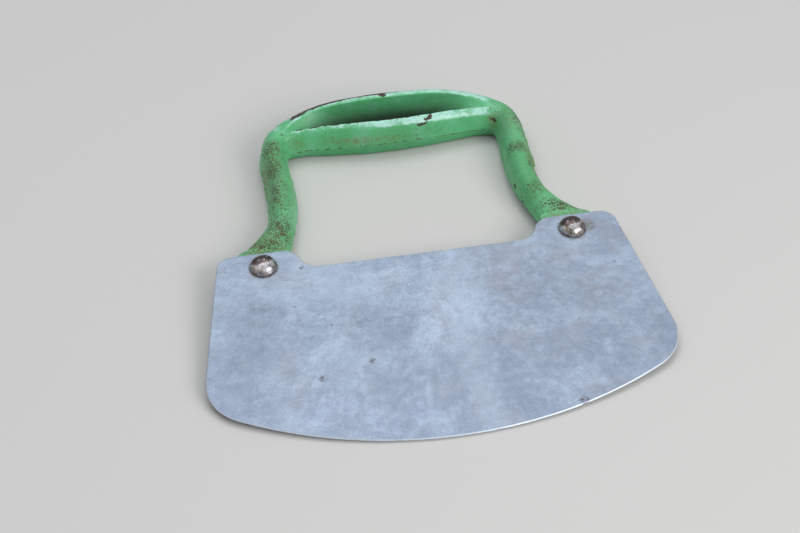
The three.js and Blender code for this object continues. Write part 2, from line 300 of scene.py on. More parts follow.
# ---- rivets ---------------------------------------------------------------------------------
def rivet_profile():
    """Radius and height from the middle of the hammered tail to the top of the dome."""
    tail_top = FOOT_FRONT - FOOT_THICKNESS - 0.05
    points = [(0.0, tail_top - TAIL_HEIGHT)]
    for share in np.linspace(0.1, 1, 10):
        points.append((TAIL_RADIUS * share, tail_top - TAIL_HEIGHT * (1 - share ** 3) ** 0.7))
    points += [(SHANK_RADIUS, tail_top), (SHANK_RADIUS, 0.05), (HEAD_RADIUS - 0.25, 0.05)]
    skirt = 0.35
    for share in np.linspace(1, 0, 26):
        rise = (1 - share ** 2.05) ** 0.52
        points.append((HEAD_RADIUS * share, skirt + (GAP + HEAD_HEIGHT - skirt) * rise))
    return points


def dome_rivet(side, name, seed):
    around = RIVET_AROUND
    vertices = []
    faces = []
    rings = []
    for radius, height in rivet_profile():
        if radius < 1e-6:
            rings.append([len(vertices)])
            vertices.append(Vector((0, 0, height)))
            continue
        rings.append(list(range(len(vertices), len(vertices) + around)))
        for i in range(around):
            angle = 2 * math.pi * i / around
            vertices.append(Vector((radius * math.cos(angle), radius * math.sin(angle), height)))
    for lower, upper in zip(rings, rings[1:]):
        for i in range(around):
            j = (i + 1) % around
            quad = [lower[i % len(lower)], lower[j % len(lower)]]
            quad += [upper[j % len(upper)], upper[i % len(upper)]]
            faces.append(list(dict.fromkeys(quad)))
    for point in vertices:
        if point.z > 0.2 or point.z < FOOT_FRONT - FOOT_THICKNESS:
            dent = noise.noise(point * 0.5 + Vector((seed, 0, 0))) * 0.10
            dent += noise.noise(point * 1.3 + Vector((0, seed, 0))) * 0.04
            outward = Vector((point.x, point.y, 2.0 * point.z)).normalized()
            point += outward * (dent - 0.06)
    placed = [(v.x + side * RIVET_X, v.y + RIVET_Y, v.z) for v in vertices]
    piece = make_object(name, placed, faces)
    tidy_mesh(piece, 50)
    return piece


# ---- handle ---------------------------------------------------------------------------------
def spline(points, share):
    """Point at a share from 0 to 1 of a centripetal Catmull-Rom curve."""
    pts = np.array(points, float)
    last = len(pts) - 1
    place = min(max(share, 0.0), 1.0) * last
    i = min(int(place), last - 1)
    w = place - i
    p1, p2 = pts[i], pts[i + 1]
    p0 = pts[i - 1] if i > 0 else 2 * p1 - p2
    p3 = pts[i + 2] if i + 2 <= last else 2 * p2 - p1
    d0, d1, d2 = (max(np.linalg.norm(b - a), 1e-8) ** 0.5 for a, b in ((p0, p1), (p1, p2), (p2, p3)))
    if d1 < 1e-3:
        d1 = 1.0
    d0 = d1 if d0 < 1e-3 else d0
    d2 = d1 if d2 < 1e-3 else d2
    t1 = ((p1 - p0) / d0 - (p2 - p0) / (d0 + d1) + (p2 - p1) / d1) * d1
    t2 = ((p2 - p1) / d1 - (p3 - p1) / (d1 + d2) + (p3 - p2) / d2) * d1
    return p1 + t1 * w + (3 * (p2 - p1) - 2 * t1 - t2) * w ** 2 + (2 * (p1 - p2) + t1 + t2) * w ** 3


def both_halves(key):
    mirror = key in ("inner", "outer")
    right = [np.atleast_1d(s[key]).astype(float) for s in HANDLE_STATIONS]
    left = [p * (-1, 1) if mirror else p for p in right[:-1]]
    return right + left[::-1]


HANDLE_LINES = {key: both_halves(key) for key in HANDLE_STATIONS[0]}


def section_at(share):
    return {key: spline(line, share) for key, line in HANDLE_LINES.items()}


def trough_at(share):
    """Near edge, far edge and depth of the trough at a place along the handle, and how far
    that place is from the middle towards the trough's tips, from 0 to 1."""
    stations = len(HANDLE_LINES["inner"]) - 1
    reach = TROUGH_REACH - (RIGHT_SHORTER if share < 0.5 else 0.0)
    away = min(abs(share - 0.5) * stations / reach, 1.0)
    near = NEAR_CREST + (TIP_CREST - NEAR_CREST) * away ** 2
    far = near + (FAR_CREST - near) * (1 - away ** 4) ** 0.8
    return near, far, TROUGH_DEPTH * (1 - away ** 2.0) ** 1.9, away


def trough_shape(offset, away):
    """Share of the trough's depth across it: offset runs from -1, near, to 1, far."""
    near_wall = (1 - np.clip(-offset, 0, 1) ** (5.0 - 2.6 * away)) ** (0.6 + 0.8 * away ** 2)
    steep = (1 - np.clip(offset, 0, 1) ** 2.6) ** 0.75
    gentle = 1 - smoothstep(0.0, 1.0, offset)
    share = smoothstep(0.35, 0.90, away)
    return near_wall * (steep + (gentle - steep) * share)


def resample(points, count, include_last=False):
    """Evenly spaced points along a polyline."""
    steps = np.linalg.norm(np.diff(points, axis=0), axis=1)
    along = np.concatenate([[0], np.cumsum(steps)])
    places = np.linspace(0, along[-1], count + 1)
    if not include_last:
        places = places[:-1]
    return np.column_stack([np.interp(places, along, points[:, k]) for k in range(points.shape[1])])


def half_section(reach, parting, end, squareness, draft):
    """From the outer parting line over one half to the inner one: across and depth, in mm."""
    angle = np.linspace(0, math.pi, DENSE_POINTS)
    power = 2 / squareness
    rise = np.sin(angle) ** power
    cos = np.cos(angle)
    across = np.sign(cos) * np.abs(cos) ** power * (1 - draft * rise)
    return np.column_stack([across * reach, parting + (end - parting) * rise])


def soften(points, parting, passes):
    """Rounds a section's corners, but not near the parting line."""
    keep = smoothstep(0.6, 2.0, np.abs(points[:, 1] - parting))[:, None]
    for _ in range(passes):
        middle = points.copy()
        middle[1:-1] = 0.25 * points[:-2] + 0.5 * points[1:-1] + 0.25 * points[2:]
        points = points + keep * (middle - points)
    return points


def front_points(section, share):
    reach = np.linalg.norm(section["outer"] - section["inner"]) / 2
    front, parting, _ = section["depths"]
    line = half_section(reach, parting, front, section["squareness"][0], FRONT_DRAFT)
    line = resample(line, DENSE_POINTS, True)
    near, far, depth, away = trough_at(share)
    floor_at = near + (far - near) * (0.5 - 0.25 * away)
    to_near, to_far = (max(abs(edge - floor_at) * reach, 0.05) for edge in (near, far))
    from_floor = line[:, 0] - floor_at * reach
    offset = np.clip(np.where(from_floor < 0, from_floor / to_near, from_floor / to_far), -1, 1)
    carved = line.copy()
    carved[:, 1] -= depth * trough_shape(offset, away)
    carved = soften(resample(carved, DENSE_POINTS, True), parting, SOFT_PASSES)
    over_rim = np.where(carved[:, 0] > far * reach)[0][-1] + 1
    under_rim = np.where(carved[:, 0] < near * reach)[0][0]
    over_rim = min(max(over_rim, LEAST_RUN), DENSE_POINTS // 2)
    under_rim = max(min(under_rim, DENSE_POINTS - LEAST_RUN), over_rim + LEAST_RUN)
    return carved, over_rim, under_rim


def clip_ends(points, length):
    """Cuts that much off both ends of a polyline."""
    steps = np.linalg.norm(np.diff(points, axis=0), axis=1)
    along = np.concatenate([[0], np.cumsum(steps)])
    inside = (along > length) & (along < along[-1] - length)
    ends = [np.array([np.interp(at, along, points[:, k]) for k in range(2)])
            for at in (length, along[-1] - length)]
    return np.vstack([ends[0], points[inside], ends[1]]), int(inside.argmax())


def flash_height(share, inner):
    """Height of the casting flash left on one side of the handle."""
    stations = len(HANDLE_LINES["inner"]) - 1
    place = share * stations
    right = place < stations / 2
    from_foot = place if right else stations - place
    ragged = 0.75 + 0.45 * noise.noise((place * 2.3, 7.0 if inner else 1.0, 0.0))
    ragged += 0.2 * noise.noise((place * 9.0, 3.0 if inner else 5.0, 0.0))
    if inner:
        on_leg = smoothstep(0.2, 1.5, from_foot) * (1 - smoothstep(7.2, 8.6, from_foot))
        on_grip = smoothstep(8.4, 9.4, from_foot)
        return float(ragged * (0.38 * on_leg + 0.10 * on_grip))
    start = 4.95 if right else 1.4
    height = (1.75 - 0.9 * smoothstep(5.2, 6.6, from_foot)) if right else 0.5
    ramp = 0.06 if right else 0.8
    on_leg = smoothstep(start, start + ramp, from_foot) * (1 - 0.6 * smoothstep(7.5, 9.0, from_foot))
    return float(ragged * height * on_leg)


def handle_ring(share):
    """One section of the handle, as points of the flat build."""
    section = section_at(share)
    centre = (section["outer"] + section["inner"]) / 2
    toward = section["outer"] - section["inner"]
    toward = toward / np.linalg.norm(toward)
    reach = np.linalg.norm(section["outer"] - section["inner"]) / 2
    _, parting, back = section["depths"]
    carved, over_rim, under_rim = front_points(section, share)
    pieces = (carved[:over_rim + 1], carved[over_rim:under_rim + 1], carved[under_rim:])
    first, _ = clip_ends(np.vstack([pieces[0], pieces[0][-1:]]), PARTING_HALF)
    last, _ = clip_ends(np.vstack([pieces[2][:1], pieces[2]]), PARTING_HALF)
    rear = half_section(reach, parting, back, BACK_SQUARENESS, BACK_DRAFT)[::-1]
    rear, _ = clip_ends(rear, PARTING_HALF)
    outer_tip = [[reach + flash_height(share, False), parting]]
    inner_tip = [[-reach - flash_height(share, True), parting]]
    ring = np.vstack([
        outer_tip,
        resample(first, RIM_COUNTS[0]),
        resample(pieces[1], RIM_COUNTS[1]),
        resample(last, RIM_COUNTS[2], True),
        inner_tip,
        resample(rear, BACK_COUNT, True),
    ])
    plane = centre + ring[:, :1] * toward
    return np.column_stack([plane, ring[:, 1]])


def handle_bar():
    """The bar from foot to foot with its trough and flash."""
    rings = [handle_ring(share) for share in np.linspace(0, 1, RINGS + 1)]
    around = len(rings[0])
    vertices = [Vector(p) for ring in rings for p in ring]
    faces = []
    for r in range(len(rings) - 1):
        start = r * around
        for i in range(around):
            j = (i + 1) % around
            faces.append([start + i, start + j, start + j + around, start + i + around])
    for start in (0, (len(rings) - 1) * around):
        hub = len(vertices)
        vertices.append(sum((vertices[start + i] for i in range(around)), Vector()) / around)
        faces += [[start + i, start + (i + 1) % around, hub] for i in range(around)]
    piece = make_object("cast_handle", vertices, faces)
    tidy_mesh(piece, 180)
    return piece


def foot_outline():
    corner = arc(RIVET_X, RIVET_Y, FOOT_RADIUS, math.pi, 2 * math.pi, 40)
    rough = [(47.3, SEAT_TOP + 0.6), (47.8, SEAT_TOP - 4)] + corner
    rough += [(66.6, SEAT_TOP - 4), (67.0, SEAT_TOP - 1), (64.8, SEAT_TOP + 1), (61.0, SEAT_TOP + 3)]
    rough += [(50.0, SEAT_TOP + 3)]
    closed = np.array(rough + rough[:1])
    return resample(closed, 120)


def foot_tab(side):
    """Flat seat behind one ear, thickening into the leg, with the rivet hole through it."""
    outline = foot_outline()
    centre = np.array([RIVET_X, RIVET_Y])
    spokes = outline - centre
    hole = SHANK_RADIUS + FOOT_HOLE_GAP
    lengths = np.linalg.norm(spokes, axis=1)
    directions = spokes / lengths[:, None]
    vertices = []
    rings = []
    rounding = 0.9

    def add_ring(distance, depth_of):
        rings.append(len(vertices))
        for unit, radius in zip(directions, distance):
            x, y = centre + unit * radius
            vertices.append((side * x, y, depth_of(x, y)))

    def back_depth(x, y):
        thicker = FOOT_THICKENING * float(smoothstep(*FOOT_THICKENS, y))
        return FOOT_FRONT - FOOT_THICKNESS - thicker

    for share in np.linspace(0, 1, 12):
        add_ring(hole + (lengths - 0.12 - hole) * share, lambda x, y: FOOT_FRONT)
    add_ring(lengths, lambda x, y: FOOT_FRONT - 0.15)
    for turn in np.linspace(0, math.pi / 2, 6):
        drop = rounding * (1 - math.sin(turn))
        pull = rounding * (1 - math.cos(turn))
        add_ring(lengths - pull, lambda x, y, drop=drop: back_depth(x, y) + drop)
    for share in np.linspace(0.9, 0, 11):
        add_ring(hole + (lengths - rounding - hole) * share, back_depth)
    count = len(outline)
    faces = []
    for a, b in zip(rings, rings[1:] + rings[:1]):
        for i in range(count):
            j = (i + 1) % count
            faces.append([a + i, a + j, b + j, b + i])
    piece = make_object(f"foot_{'right' if side > 0 else 'left'}", vertices, faces)
    tidy_mesh(piece, 180)
    return piece


def skin_noise(point):
    """Height of the sand-cast skin at a point, in metres."""
    broad = noise.noise(point * 95.0) * 0.00016
    middle = noise.noise(point * 330.0 + Vector((5, 0, 0))) * 0.00005
    return broad + middle


def roughen(piece):
    piece.data.update()
    normals = [v.normal.copy() for v in piece.data.vertices]
    for vertex, normal in zip(piece.data.vertices, normals):
        vertex.co += normal * skin_noise(vertex.co)


def flatten_underside(piece):
    """The grip's back lies flat on the surface."""
    for vertex in piece.data.vertices:
        if vertex.co.z < 0.0:
            vertex.co.z = 0.0


def unite(base, others):
    for other in others:
        modifier = base.modifiers.new("union", "BOOLEAN")
        modifier.operation = "UNION"
        modifier.solver = "MANIFOLD"
        modifier.object = other
    bpy.context.view_layer.update()
    depsgraph = bpy.context.evaluated_depsgraph_get()
    joined = bpy.data.meshes.new_from_object(base.evaluated_get(depsgraph))
    base.modifiers.clear()
    base.data = joined
    for other in others:
        bpy.data.objects.remove(other)


def cast_handle():
    piece = handle_bar()
    roughen(piece)
    flatten_underside(piece)
    unite(piece, [foot_tab(1), foot_tab(-1)])
    tidy_mesh(piece, 42)
    piece.name = "cast_handle"
    return piece


# ---- where the paint is worn, dirty and rusty, and where shade and highlights are painted ----
def blobs(points, spots):
    """Highest of several soft blobs: centre, reach along x, y and z, and strength."""
    result = np.zeros(len(points))
    for centre, reach, strength in spots:
        away = np.linalg.norm((points - centre) / reach, axis=1)
        result = np.maximum(result, strength * np.exp(-away ** 2))
    return result


# Each spot on the handle: centre, reach along x, y and z, in mm, and strength.
SPECK_SPOTS = [
    ((-48.5, 158.0, -3.0), (6.0, 8.0, 8.0), 0.90),
    ((-48.8, 146.0, -2.0), (5.0, 12.0, 8.0), 0.95),
    ((-48.5, 129.0, -2.0), (5.2, 15.0, 8.0), 0.88),
    ((-49.5, 112.0, -1.0), (6.5, 10.0, 7.0), 1.00),
    ((-56.0, 103.5, -1.0), (10.0, 5.0, 5.0), 1.00),
    ((51.0, 160.0, -4.0), (5.0, 12.0, 8.0), 0.78),
    ((47.0, 141.5, -1.0), (8.0, 4.0, 7.0), 1.10),
    ((52.0, 158.0, -5.0), (3.0, 12.0, 6.0), 0.90),
    ((57.0, 103.2, -1.5), (9.0, 1.3, 3.0), 1.00),
    ((51.0, 133.0, -3.0), (3.2, 8.0, 7.0), 0.95),
    ((52.5, 148.0, -7.0), (3.0, 9.0, 6.0), 0.75),
    ((48.5, 116.0, -1.0), (5.0, 5.5, 6.0), 0.85),
    ((55.0, 106.0, -1.5), (9.0, 3.5, 6.0), 0.95),
    ((0.0, 162.0, -8.0), (26.0, 3.0, 2.8), 0.80),
    ((44.0, 166.0, -1.0), (8.0, 8.0, 4.0), 0.45),
    ((-24.0, 162.5, -4.0), (7.0, 3.0, 3.0), 0.62),
    ((14.0, 162.5, -5.0), (8.0, 3.0, 2.5), 0.55),
]
DIRT_SPOTS = [
    ((48.0, 160.0, -4.0), (5.0, 16.0, 8.0), 0.45),
    ((53.0, 143.0, -7.0), (4.0, 12.0, 6.0), 0.75),
    ((52.5, 124.0, -5.0), (3.5, 14.0, 5.0), 0.65),
    ((60.0, 104.0, -3.0), (8.0, 3.5, 5.0), 0.60),
    ((-49.0, 140.0, -3.0), (6.0, 26.0, 8.0), 0.45),
    ((-54.0, 106.0, -2.0), (9.0, 6.0, 6.0), 0.70),
    ((-61.0, 104.5, -4.0), (8.0, 2.6, 4.0), 1.00),
]
STAIN_SPOTS = [
    ((-36.5, 163.4, -6.5), (3.2, 3.0, 2.6), 1.1),
    ((-60.5, 103.6, -4.5), (8.0, 1.8, 3.0), 0.90),
    ((53.6, 144.0, -8.0), (2.6, 10.0, 4.0), 0.70),
    ((-12.0, 162.6, -6.8), (16.0, 3.0, 1.7), 0.75),
    ((41.0, 163.4, -6.4), (2.2, 3.5, 3.4), 0.75),
    ((-52.5, 147.0, -8.0), (2.0, 8.0, 4.0), 0.9),
    ((53.5, 126.0, -6.0), (2.4, 14.0, 4.0), 0.75),
    ((-58.0, 101.0, -2.0), (12.0, 0.8, 3.0), 0.6),
    ((58.0, 101.0, -2.0), (12.0, 0.8, 3.0), 0.5),
]
CHIP_SPOTS = [
    ((12.6, 163.1, -2.6), (2.3, 2.0, 0.8), 1.3),
    ((16.0, 164.1, -1.2), (3.2, 2.0, 0.7), 1.3),
    ((22.7, 164.7, -0.3), (2.0, 1.2, 0.8), 1.1),
    ((41.4, 163.9, -5.6), (1.7, 1.7, 1.1), 1.5),
    ((-0.5, 180.8, -0.2), (2.2, 1.7, 1.8), 1.4),
    ((42.0, 123.5, -6.2), (1.6, 2.4, 1.6), 1.0),
    ((44.2, 115.6, -6.2), (1.8, 2.2, 1.6), 1.0),
    ((-16.0, 185.0, -2.0), (1.8, 2.0, 1.8), 0.9),
    ((-53.0, 150.0, -10.0), (1.2, 7.0, 2.0), 0.8),
    ((-67.0, 100.0, -3.0), (1.6, 1.2, 2.0), 0.6),
    ((67.0, 100.0, -3.0), (1.6, 1.2, 2.0), 0.9),
]


def set_mask(piece, name, values):
    layer = piece.data.attributes.new(name, "FLOAT", "POINT")
    layer.data.foreach_set("value", np.asarray(values, np.float32))


def near_parting(x):
    """Depth of the parting line on the grip's near side."""
    grip = HANDLE_STATIONS[:-5:-1]
    return np.interp(np.abs(x), [s["inner"][0] for s in grip], [s["depths"][1] for s in grip])


def grip_edges(x):
    """y of the trough's near and far edge and of the grip's outer edge, at each x."""
    edges = []
    for share in np.linspace(0.5, 0.5 - TROUGH_REACH / (2 * len(HANDLE_STATIONS) - 2), 60):
        section = section_at(share)
        near, far, _, _ = trough_at(share)
        middle = (section["outer"] + section["inner"]) / 2
        half = (section["outer"] - section["inner"]) / 2
        edges.append(np.hstack([middle + near * half, middle + far * half, section["outer"]]))
    columns = np.array(edges).T
    return [np.interp(np.abs(x), columns[k], columns[k + 1]) for k in (0, 2, 4)]


def paint_masks(piece):
    """Stores how specked, stained, chipped and dirty each point of the handle is, and where shade and
    highlights are painted.
    """
    back = LAY.inverted()
    points = np.array([back @ v.co for v in piece.data.vertices])
    normals = np.array([v.normal for v in piece.data.vertices])
    x, y, z = points.T
    front = smoothstep(-0.2, 0.6, normals[:, 2])
    set_mask(piece, "specks", np.clip(blobs(points, SPECK_SPOTS) * (0.35 + 0.65 * front) + 0.06, 0, 1))
    seat = (1 - smoothstep(0.2, 0.9, np.abs(z - FOOT_FRONT))) * (1 - smoothstep(0.2, 1.0, y - SEAT_TOP))
    grip = smoothstep(159.0, 161.0, y)
    near_wall, far_wall, outside = grip_edges(x)
    outward = (y - far_wall) / np.maximum(outside - far_wall, 0.5)
    far_edge = smoothstep(0.27, 0.37, outward - 0.30 * smoothstep(-14.0, 22.0, x)
                          + 0.12 * smoothstep(12.0, 34.0, -x)) * grip
    far_edge *= smoothstep(-4.2, -2.2, z) * (1 - smoothstep(37.0, 43.0, np.abs(x)))
    far_edge *= 1 - 0.45 * smoothstep(-8.0, 26.0, x)
    crease = np.exp(-((z - near_parting(x)) / 0.34) ** 2) * (normals[:, 1] < -0.2)
    crease *= smoothstep(157.0, 160.0, y) * (np.abs(x) < 42)
    in_trough = smoothstep(0.0, 1.2, y - near_wall) * (1 - smoothstep(-0.6, 0.4, y - far_wall))
    in_trough *= smoothstep(-43.5, -40.0, -np.abs(x))
    # Painted shade: darker towards the bottom of the trough, fading out towards its tips.
    depth = in_trough * (0.18 + 0.82 * smoothstep(0.5, 9.5, -z)) * (1 - smoothstep(27.0, 40.0, np.abs(x)))
    near_rim = smoothstep(-1.25, -0.45, y - near_wall) * (1 - smoothstep(0.5, 1.3, y - near_wall))
    near_rim *= (z > -4.0) * (np.abs(x) < 43.5)
    near_rim *= 0.56 + 0.34 * smoothstep(8.0, 24.0, -x)
    set_mask(piece, "stain", np.clip(blobs(points, STAIN_SPOTS) + 0.45 * seat, 0, 1))
    chips = blobs(points, CHIP_SPOTS) + 1.0 * far_edge + 0.80 * crease + near_rim
    set_mask(piece, "chips", np.clip(chips, 0, 1))
    on_legs = front * (1 - smoothstep(158.0, 168.0, y)) * smoothstep(100.5, 103.0, y)
    set_mask(piece, "dirt", np.clip(blobs(points, DIRT_SPOTS) + 0.20 * on_legs + 0.35 * crease, 0, 1))
    # Painted shade: a lighter darkening on the band under the near parting line, which faces down.
    below_parting = smoothstep(0.0, 1.5, near_parting(x) - z) * grip * (normals[:, 1] < 0.3)
    set_mask(piece, "painted_shade", np.maximum(depth, 0.22 * below_parting))
    # Painted highlight: pale whitish teal on the upward-facing tops of the grip's rims and in a patch on
    # the left corner.
    near_shoulder = smoothstep(-30.0, 12.0, x) * (y < near_wall + 0.5)
    top_rim = smoothstep(0.55, 0.80, normals[:, 2] + 0.24 * near_shoulder) * grip * (1 - in_trough)
    top_rim *= (0.74 + 0.26 * smoothstep(-25.0, 15.0, x)) * (1 - 0.7 * smoothstep(37.0, 45.0, np.abs(x)))
    pale_corner = blobs(points, [((-46.0, 171.0, -3.0), (4.5, 5.0, 5.0), 0.75)]) * front
    set_mask(piece, "painted_highlight", np.clip(np.maximum(top_rim, pale_corner), 0, 1))


# ---- material graphs -------------------------------------------------------------------------
MIX_FIRST, MIX_SECOND, MIX_RESULT = 6, 7, 2      # a mix node's colour sockets


class Graph:
    """A short way to write a shader: each call adds one node and returns its output."""

    def __init__(self, name):
        self.material = bpy.data.materials.new(name)
        self.material.use_nodes = True
        self.nodes = self.material.node_tree.nodes
        self.links = self.material.node_tree.links
        self.shader = self.nodes["Principled BSDF"]
        self.place = self.nodes.new("ShaderNodeTexCoord").outputs["Object"]

    def put(self, value, socket):
        if isinstance(value, bpy.types.NodeSocket):
            self.links.new(value, socket)
        else:
            socket.default_value = value

    def set(self, **values):
        for key, value in values.items():
            self.put(value, self.shader.inputs[key.replace("_", " ")])

    def attribute(self, name):
        made = self.nodes.new("ShaderNodeAttribute")
        made.attribute_name = name
        return made.outputs["Fac"]

    def stretched(self, scale, turn=0.0):
        made = self.nodes.new("ShaderNodeMapping")
        made.inputs["Scale"].default_value = scale
        made.inputs["Rotation"].default_value = (0, 0, turn)
        self.put(self.place, made.inputs["Vector"])
        return made.outputs["Vector"]

    def noise(self, scale, detail=3.0, rough=0.5, place=None, warp=0.0):
        made = self.nodes.new("ShaderNodeTexNoise")
        made.inputs["Scale"].default_value = scale
        made.inputs["Detail"].default_value = detail
        made.inputs["Roughness"].default_value = rough
        made.inputs["Distortion"].default_value = warp
        self.put(place or self.place, made.inputs["Vector"])
        return made.outputs["Fac"]

    def cells(self, scale, feature="F1", place=None):
        made = self.nodes.new("ShaderNodeTexVoronoi")
        made.feature = feature
        made.inputs["Scale"].default_value = scale
        self.put(place or self.place, made.inputs["Vector"])
        return made.outputs["Distance"], made.outputs["Color"]

    def math(self, operation, first, second=0.0, third=0.0, clamp=False):
        made = self.nodes.new("ShaderNodeMath")
        made.operation = operation
        made.use_clamp = clamp
        self.put(first, made.inputs[0])
        self.put(second, made.inputs[1])
        self.put(third, made.inputs[2])
        return made.outputs[0]

    def step(self, value, low, high, to_low=0.0, to_high=1.0):
        made = self.nodes.new("ShaderNodeMapRange")
        made.interpolation_type = "SMOOTHSTEP"
        for key, given in (("Value", value), ("From Min", low), ("From Max", high),
                           ("To Min", to_low), ("To Max", to_high)):
            self.put(given, made.inputs[key])
        return made.outputs["Result"]

    def mix(self, factor, first, second):
        made = self.nodes.new("ShaderNodeMix")
        made.data_type = "RGBA"
        self.put(factor, made.inputs["Factor"])
        self.put(first, made.inputs[MIX_FIRST])
        self.put(second, made.inputs[MIX_SECOND])
        return made.outputs[MIX_RESULT]

    def spot(self, centre, radius, softness=0.35, inside=1.0, place=None):
        """One value within a radius in metres of a point, the other (0 or 1) outside."""
        made = self.nodes.new("ShaderNodeVectorMath")
        made.operation = "DISTANCE"
        self.put(place or self.place, made.inputs[0])
        made.inputs[1].default_value = centre
        low, high = radius * (1 - softness), radius * (1 + softness)
        return self.step(made.outputs["Value"], low, high, inside, 1.0 - inside)

    def patches(self, rows, place):
        """Highest of several soft round patches: x, y and radius, in mm, and strength."""
        highest = 0.0
        for x, y, radius, strength in rows:
            patch = self.spot(laid(x, y), radius * MM, 0.75, place=place)
            highest = self.math("MAXIMUM", highest, self.math("MULTIPLY", patch, strength))
        return highest

    def across(self, low, high):
        """Rises from 0 to 1 between two x positions, a little ragged."""
        split = self.nodes.new("ShaderNodeSeparateXYZ")
        self.put(self.warped(0.006, 60), split.inputs[0])
        return self.step(split.outputs["X"], low, high)

    def warped(self, amount, scale):
        """The place, pushed about by a noise pattern."""
        made = self.nodes.new("ShaderNodeTexNoise")
        made.inputs["Scale"].default_value = scale
        self.put(self.place, made.inputs["Vector"])
        centred = self.nodes.new("ShaderNodeVectorMath")
        centred.operation = "SUBTRACT"
        self.put(made.outputs["Color"], centred.inputs[0])
        centred.inputs[1].default_value = (0.5, 0.5, 0.5)
        push = self.nodes.new("ShaderNodeVectorMath")
        push.operation = "MULTIPLY_ADD"
        self.put(centred.outputs["Vector"], push.inputs[0])
        push.inputs[1].default_value = (amount, amount, amount)
        self.put(self.place, push.inputs[2])
        return push.outputs["Vector"]

    def bump(self, height, distance, strength=1.0, under=None):
        made = self.nodes.new("ShaderNodeBump")
        made.inputs["Distance"].default_value = distance
        made.inputs["Strength"].default_value = strength
        self.put(height, made.inputs["Height"])
        if under is not None:
            self.put(under, made.inputs["Normal"])
        return made.outputs["Normal"]


def rgb(red, green, blue):
    return (red, green, blue, 1.0)


def above_edge(g, pattern, amount, start, gain, softness):
    """Grains where a noise pattern passes a threshold that sinks as the amount grows."""
    edge = g.math("MULTIPLY_ADD", amount, -gain, start)
    return g.step(pattern, edge, g.math("ADD", edge, softness))


def green_enamel():
    g = Graph("worn_green_enamel")
    paint = g.mix(g.step(g.noise(60, 4), 0.36, 0.64), rgb(0.088, 0.415, 0.165), rgb(0.118, 0.500, 0.230))
    # Paler teal patches at random: partly faded paint, partly a painted sheen.
    fading_and_sheen = g.step(g.noise(120, 4, 0.6), 0.50, 0.68, 0.0, 0.45)
    paint = g.mix(fading_and_sheen, paint, rgb(0.180, 0.470, 0.300))
    # Painted highlight: pale whitish teal in patches where the rims and the left corner face up.
    painted_highlight = above_edge(g, g.noise(260, 5, 0.7), g.attribute("painted_highlight"), 0.66, 0.44, 0.34)
    paint = g.mix(g.math("MULTIPLY", painted_highlight, 0.90), paint, rgb(0.470, 0.790, 0.700))
    # Painted shade: the paint goes nearly black green deep in the trough and darker on the grip's
    # underside band.
    paint = g.mix(g.attribute("painted_shade"), paint, rgb(0.005, 0.028, 0.008))
    dirt = g.math("MULTIPLY", g.attribute("dirt"), g.step(g.noise(700, 6, 0.75), 0.36, 0.60, 0.15, 1.0))
    paint = g.mix(g.math("MULTIPLY", dirt, 0.62), paint, rgb(0.200, 0.150, 0.070))
    stain = g.math("MULTIPLY", g.attribute("stain"), g.step(g.noise(520, 5, 0.7), 0.36, 0.60), clamp=True)
    paint = g.mix(g.math("MULTIPLY", stain, 0.80), paint, rgb(0.215, 0.105, 0.032))
    patch = g.step(g.noise(300, 4, 0.65), 0.32, 0.60, 0.66, 1.0)
    density = g.math("MULTIPLY", g.attribute("specks"), patch)
    fine = above_edge(g, g.noise(1800, 4, 0.62), density, 0.655, 0.205, 0.035)
    coarse = above_edge(g, g.noise(700, 5, 0.70), density, 0.715, 0.160, 0.030)
    specks = g.math("MAXIMUM", fine, coarse)
    chips = above_edge(g, g.noise(420, 5, 0.65), g.attribute("chips"), 0.80, 0.42, 0.040)
    rust = g.mix(g.noise(900, 3), rgb(0.040, 0.024, 0.018), rgb(0.125, 0.064, 0.034))
    metal = g.mix(g.noise(700, 4), rgb(0.030, 0.022, 0.018), rgb(0.105, 0.070, 0.050))
    colour = g.mix(g.math("MULTIPLY", specks, 0.90), paint, rust)
    colour = g.mix(chips, colour, metal)
    lost = g.math("MAXIMUM", specks, chips)
    dull = g.math("MAXIMUM", g.math("MAXIMUM", lost, dirt), g.attribute("painted_shade"))
    rough = g.step(g.noise(210, 4), 0.3, 0.7, 0.26, 0.42)
    rough = g.math("ADD", rough, g.math("MULTIPLY", dull, 0.45))
    skin = g.bump(g.noise(620, 3, 0.60), 0.00012, 0.70)
    pits = g.bump(g.math("SUBTRACT", 1.0, lost), 0.00012, 0.8, skin)
    g.set(Base_Color=colour, Roughness=rough, Normal=pits, Metallic=0.0, Specular_IOR_Level=0.45)
    return g.material


# Brown marks on the blade: x, y and radius, in mm.
RUST_MARKS = [(-42.3, 33.0, 1.3), (-24.6, 38.5, 1.1), (-43.6, 88.3, 0.9), (43.4, 7.8, 1.5),
              (-48.2, 68.9, 0.4), (-40.2, 63.6, 0.4), (-36.3, 57.6, 0.4), (68.5, 71.0, 0.5)]
# Broad dull patches on the blade: x, y and radius, in mm, and how dull.
DULL_PATCHES = [(-63.0, 66.0, 12.0, 1.0), (-21.0, 54.0, 12.0, 1.0), (-70.0, 49.0, 12.0, 1.0),
                (-67.0, 27.0, 12.0, 1.0), (-18.0, 28.0, 9.0, 0.7), (19.0, 34.0, 14.0, 1.0),
                (36.0, 62.0, 15.0, 0.9), (39.0, 34.0, 11.0, 0.8), (62.0, 58.0, 11.0, 0.9),
                (74.0, 44.0, 10.0, 0.7), (57.0, 32.0, 11.0, 0.8), (14.0, 14.0, 13.0, 1.0)]
# Patches that are still bright: the same.
BRIGHT_PATCHES = [(-38.0, 76.0, 13.0, 1.0), (-35.0, 37.0, 10.0, 0.8), (-4.0, 70.0, 9.0, 0.5)]


